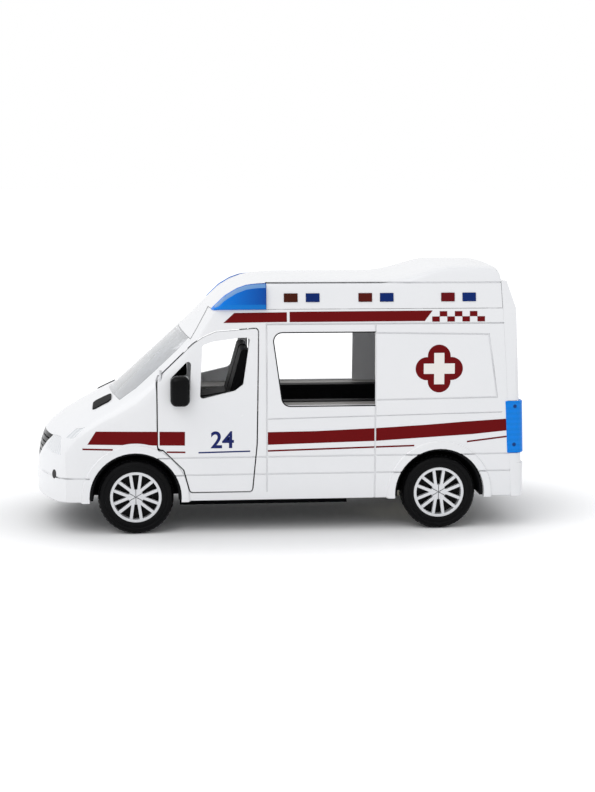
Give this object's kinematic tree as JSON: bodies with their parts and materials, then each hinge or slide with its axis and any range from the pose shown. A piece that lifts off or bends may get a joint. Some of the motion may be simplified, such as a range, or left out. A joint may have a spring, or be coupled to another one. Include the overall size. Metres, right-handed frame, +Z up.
{
  "type": "toy ambulance van",
  "caption": "Toy ambulance van with hinged front and rear doors, corner beacon lenses, raised rear roof fairing, and wheels on axles with a geared flywheel friction drive.",
  "frame": {"origin": "on the ground plane under the middle of the van's length and width", "axes": "+X towards the nose, +Y towards the vehicle's left side, +Z up"},
  "size_m": [0.24, 0.1036, 0.1295],
  "materials": {
    "white_abs": "gloss",
    "clear_screen": "clear",
    "blue_lens": "translucent gloss",
    "tail_blue": "translucent gloss",
    "black_gloss": "gloss",
    "lamp_clear": "clear",
    "marker_red": "gloss",
    "marker_blue": "gloss",
    "steel": "brushed",
    "black_matte": "matte",
    "grey_matte": "matte",
    "tyre_black": "matte",
    "rim_silver": "silver paint",
    "gear_nylon": "matte",
    "flywheel_iron": "machined",
    "board_green": "matte",
    "led_clear": "gloss"
  },
  "bodies": {
    "van": {"body_shell": "white_abs", "roof_cap": "white_abs", "rear_panel": "white_abs", "windscreen": "clear_screen", "beacon_lens_left": "blue_lens", "beacon_lens_right": "blue_lens", "tail_light_left": "tail_blue", "tail_light_right": "tail_blue", "grille": "black_gloss", "headlight_left": "lamp_clear", "headlight_right": "lamp_clear", "fog_lamps": "black_gloss", "bonnet_vents": "black_gloss", "marker_lenses_red": "marker_red", "marker_lenses_blue": "marker_blue", "front_door_pins": "steel", "rear_door_pins": "steel", "cabin_floor": "black_matte", "side_bench_left": "grey_matte", "side_bench_right": "grey_matte", "cab_seats": "black_matte", "dashboard": "black_matte", "steering_wheel": "black_matte", "chassis": "black_matte", "motor_case_left": "gear_nylon", "motor_case_right": "gear_nylon", "battery_cells": "steel", "battery_cover": "black_matte", "circuit_board": "board_green", "speaker": "black_matte", "beacon_leds": "led_clear", "chassis_screws": "steel"},
    "front_wheels": {"front_axle": "steel", "front_tyre_left": "tyre_black", "front_tyre_right": "tyre_black", "front_rim_left": "rim_silver", "front_rim_right": "rim_silver"},
    "rear_wheels": {"rear_axle": "steel", "rear_tyre_left": "tyre_black", "rear_tyre_right": "tyre_black", "rear_rim_left": "rim_silver", "rear_rim_right": "rim_silver", "axle_gear": "gear_nylon"},
    "compound": {"compound_gear": "gear_nylon"},
    "spinner": {"flywheel": "flywheel_iron", "flywheel_shaft": "steel"},
    "door_front_left": {"front_door_left": "white_abs", "mirror_left": "black_gloss"},
    "door_front_right": {"front_door_right": "white_abs", "mirror_right": "black_gloss"},
    "door_rear_left": {"rear_door_left": "white_abs"},
    "door_rear_right": {"rear_door_right": "white_abs"},
    "switch": {"power_switch": "black_gloss"}
  },
  "joints": [
    {"name": "front_axle_spin", "type": "hinge", "parent": "van", "child": "front_wheels", "pos_m": [0.07, 0, 0.0182], "axis": [0, 1, 0], "continuous": true},
    {"name": "rear_axle_spin", "type": "hinge", "parent": "van", "child": "rear_wheels", "pos_m": [-0.078, 0, 0.0182], "axis": [0, 1, 0], "continuous": true},
    {"name": "compound_spin", "type": "hinge", "parent": "van", "child": "compound", "pos_m": [-0.0685, 0, 0.02204], "axis": [0, 1, 0], "continuous": true},
    {"name": "flywheel_spin", "type": "hinge", "parent": "van", "child": "spinner", "pos_m": [-0.05832, 0, 0.02097], "axis": [0, 1, 0], "continuous": true},
    {"name": "front_door_left_hinge", "type": "hinge", "parent": "van", "child": "door_front_left", "pos_m": [0.05758, 0.0445, 0.06], "axis": [0, 0, -1], "range_deg": [0, 60]},
    {"name": "front_door_right_hinge", "type": "hinge", "parent": "van", "child": "door_front_right", "pos_m": [0.05758, -0.0445, 0.06], "axis": [0, 0, 1], "range_deg": [0, 60]},
    {"name": "rear_door_left_hinge", "type": "hinge", "parent": "van", "child": "door_rear_left", "pos_m": [-0.1209, 0.0361, 0], "axis": [-0.0558, 0, -0.9984], "range_deg": [0, 100]},
    {"name": "rear_door_right_hinge", "type": "hinge", "parent": "van", "child": "door_rear_right", "pos_m": [-0.1209, -0.0361, 0], "axis": [0.0558, 0, 0.9984], "range_deg": [0, 100]},
    {"name": "power_switch_slide", "type": "slide", "parent": "van", "child": "switch", "axis": [0, 1, 0], "range_m": [-0.002, 0.002]}
  ],
  "couplings": [
    {"joint": "compound_spin", "follows": "rear_axle_spin", "ratio": -3.1111},
    {"joint": "flywheel_spin", "follows": "rear_axle_spin", "ratio": 9.679}
  ]
}
